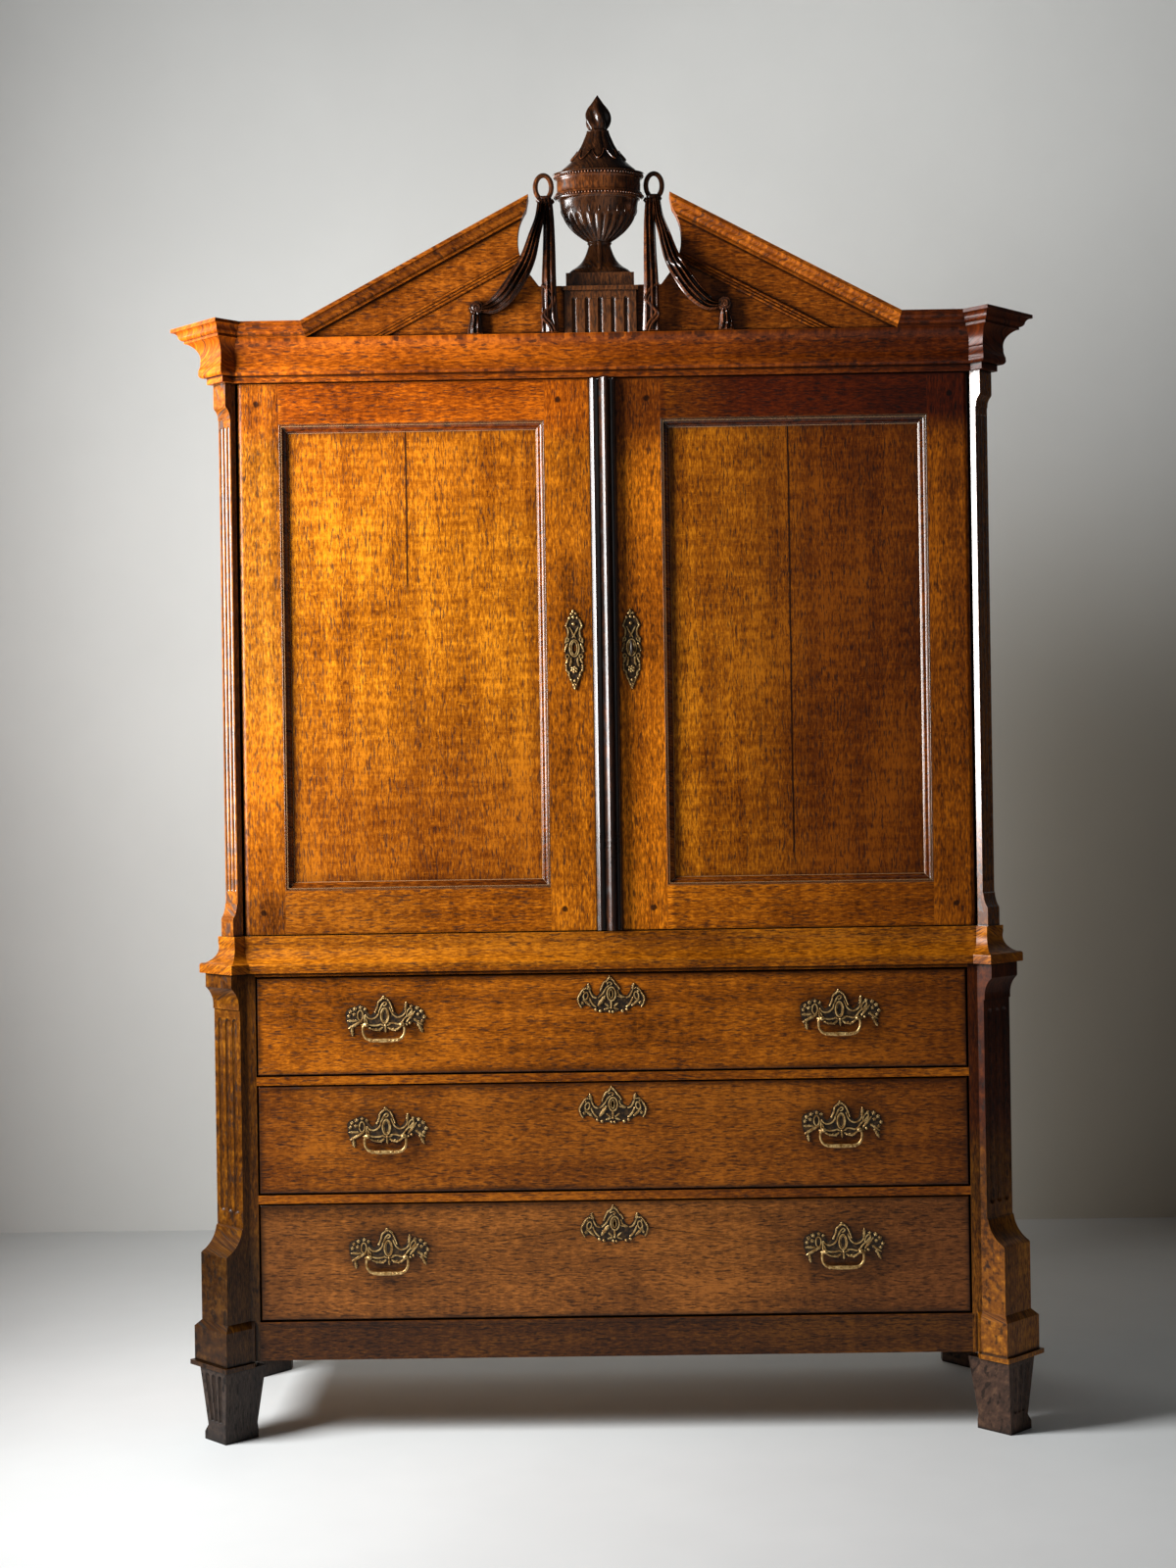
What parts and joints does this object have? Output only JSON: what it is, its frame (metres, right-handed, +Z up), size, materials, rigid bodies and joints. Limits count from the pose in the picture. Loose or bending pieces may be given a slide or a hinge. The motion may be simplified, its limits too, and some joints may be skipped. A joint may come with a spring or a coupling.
{
  "type": "linen press",
  "caption": "Tall oak linen press: drawers below, cupboard with panelled doors above, broken pediment with an urn and drapes.",
  "frame": {"origin": "on the floor, midway between the outermost faces of the press", "axes": "+Z up, front faces -Y, +X towards the right side seen from the front"},
  "size_m": [1.7088, 0.5994, 2.648],
  "materials": {
    "oak": "waxed oak, reddish brown",
    "golden_oak": "waxed oak, golden",
    "brown_oak": "waxed oak, brown",
    "dark_oak": "dark polished oak",
    "handle_brass": "lacquered stamped brass",
    "lock_iron": "dark forged iron"
  },
  "bodies": {
    "case": {"base_back": "oak", "base_floor": "oak", "base_side_left": "oak", "base_side_right": "oak", "base_top": "oak", "corner_post_left": "oak", "corner_post_right": "oak", "cornice": "oak", "cornice_frame": "oak", "cupboard_floor": "oak", "cupboard_top": "oak", "drapery_left": "dark_oak", "drapery_right": "dark_oak", "drawer_runners": "oak", "feet": "dark_oak", "front_rails": "oak", "pediment_boards": "oak", "pilaster_left": "oak", "pilaster_right": "oak", "pivot_pins": "lock_iron", "raking_mouldings": "oak", "shelves": "oak", "upper_back": "oak", "upper_side_left": "oak", "upper_side_right": "oak", "urn_body": "dark_oak", "urn_lid": "dark_oak", "urn_pedestal": "dark_oak", "waist_moulding": "oak"},
    "bottom_drawer": {"bottom_drawer_front": "brown_oak", "bottom_drawer_box": "oak", "bottom_drawer_brasses": "handle_brass"},
    "bottom_bail_left": {"bottom_drawer_bail_left": "handle_brass"},
    "bottom_bail_right": {"bottom_drawer_bail_right": "handle_brass"},
    "bottom_lock_bolt": {"bottom_drawer_lock_bolt": "lock_iron"},
    "middle_drawer": {"middle_drawer_front": "brown_oak", "middle_drawer_box": "oak", "middle_drawer_brasses": "handle_brass"},
    "middle_bail_left": {"middle_drawer_bail_left": "handle_brass"},
    "middle_bail_right": {"middle_drawer_bail_right": "handle_brass"},
    "middle_lock_bolt": {"middle_drawer_lock_bolt": "lock_iron"},
    "top_drawer": {"top_drawer_front": "brown_oak", "top_drawer_box": "oak", "top_drawer_brasses": "handle_brass"},
    "top_bail_left": {"top_drawer_bail_left": "handle_brass"},
    "top_bail_right": {"top_drawer_bail_right": "handle_brass"},
    "top_lock_bolt": {"top_drawer_lock_bolt": "lock_iron"},
    "right_door": {"right_door_frame": "oak", "right_door_panel": "golden_oak", "right_door_escutcheon": "handle_brass", "right_door_lock": "lock_iron", "closing_strip": "oak"},
    "left_door": {"left_door_frame": "oak", "left_door_panel": "golden_oak", "left_door_escutcheon": "handle_brass", "left_door_staples": "lock_iron"},
    "right_door_bolt": {"right_door_lock_bolt": "lock_iron"},
    "door_key": {"key": "lock_iron"},
    "bolt_top": {"left_door_bolt_top": "lock_iron"},
    "bolt_bottom": {"left_door_bolt_bottom": "lock_iron"}
  },
  "joints": [
    {"name": "right_door_hinge", "type": "hinge", "parent": "case", "child": "right_door", "pos_m": [0.7118, -0.18635, 0.989], "axis": [0, 0, 1], "range_deg": [0, 90]},
    {"name": "left_door_hinge", "type": "hinge", "parent": "case", "child": "left_door", "pos_m": [-0.7118, -0.18635, 0.989], "axis": [0, 0, -1], "range_deg": [0, 90]},
    {"name": "bottom_drawer_slide", "type": "slide", "parent": "case", "child": "bottom_drawer", "axis": [0, -1, 0], "range_m": [0, 0.38]},
    {"name": "bottom_bail_left_hinge", "type": "hinge", "parent": "bottom_drawer", "child": "bottom_bail_left", "pos_m": [-0.447, -0.23534, 0.3539], "axis": [-1, 0, 0], "range_deg": [0, 90]},
    {"name": "bottom_bail_right_hinge", "type": "hinge", "parent": "bottom_drawer", "child": "bottom_bail_right", "pos_m": [0.447, -0.23534, 0.3539], "axis": [-1, 0, 0], "range_deg": [0, 90]},
    {"name": "bottom_lock_bolt_slide", "type": "slide", "parent": "bottom_drawer", "child": "bottom_lock_bolt", "axis": [0, 0, 1], "range_m": [0, 0.0075]},
    {"name": "middle_drawer_slide", "type": "slide", "parent": "case", "child": "middle_drawer", "axis": [0, -1, 0], "range_m": [0, 0.38]},
    {"name": "middle_bail_left_hinge", "type": "hinge", "parent": "middle_drawer", "child": "middle_bail_left", "pos_m": [-0.447, -0.23534, 0.5922], "axis": [-1, 0, 0], "range_deg": [0, 90]},
    {"name": "middle_bail_right_hinge", "type": "hinge", "parent": "middle_drawer", "child": "middle_bail_right", "pos_m": [0.447, -0.23534, 0.5922], "axis": [-1, 0, 0], "range_deg": [0, 90]},
    {"name": "middle_lock_bolt_slide", "type": "slide", "parent": "middle_drawer", "child": "middle_lock_bolt", "axis": [0, 0, 1], "range_m": [0, 0.0075]},
    {"name": "top_drawer_slide", "type": "slide", "parent": "case", "child": "top_drawer", "axis": [0, -1, 0], "range_m": [0, 0.38]},
    {"name": "top_bail_left_hinge", "type": "hinge", "parent": "top_drawer", "child": "top_bail_left", "pos_m": [-0.447, -0.23534, 0.8115], "axis": [-1, 0, 0], "range_deg": [0, 90]},
    {"name": "top_bail_right_hinge", "type": "hinge", "parent": "top_drawer", "child": "top_bail_right", "pos_m": [0.447, -0.23534, 0.8115], "axis": [-1, 0, 0], "range_deg": [0, 90]},
    {"name": "top_lock_bolt_slide", "type": "slide", "parent": "top_drawer", "child": "top_lock_bolt", "axis": [0, 0, 1], "range_m": [0, 0.0075]},
    {"name": "door_key_turn", "type": "hinge", "parent": "right_door", "child": "door_key", "pos_m": [0.051, -0.20034, 1.544], "axis": [0, 1, 0], "range_deg": [0, 180]},
    {"name": "right_door_bolt_slide", "type": "slide", "parent": "right_door", "child": "right_door_bolt", "axis": [-1, 0, 0], "range_m": [0, 0.012]},
    {"name": "bolt_top_slide", "type": "slide", "parent": "left_door", "child": "bolt_top", "axis": [0, 0, 1], "range_m": [0, 0.014]},
    {"name": "bolt_bottom_slide", "type": "slide", "parent": "left_door", "child": "bolt_bottom", "axis": [0, 0, -1], "range_m": [0, 0.014]}
  ],
  "couplings": [
    {"joint": "door_key_turn", "follows": "right_door_bolt_slide", "rad_per_m": 261.8}
  ]
}
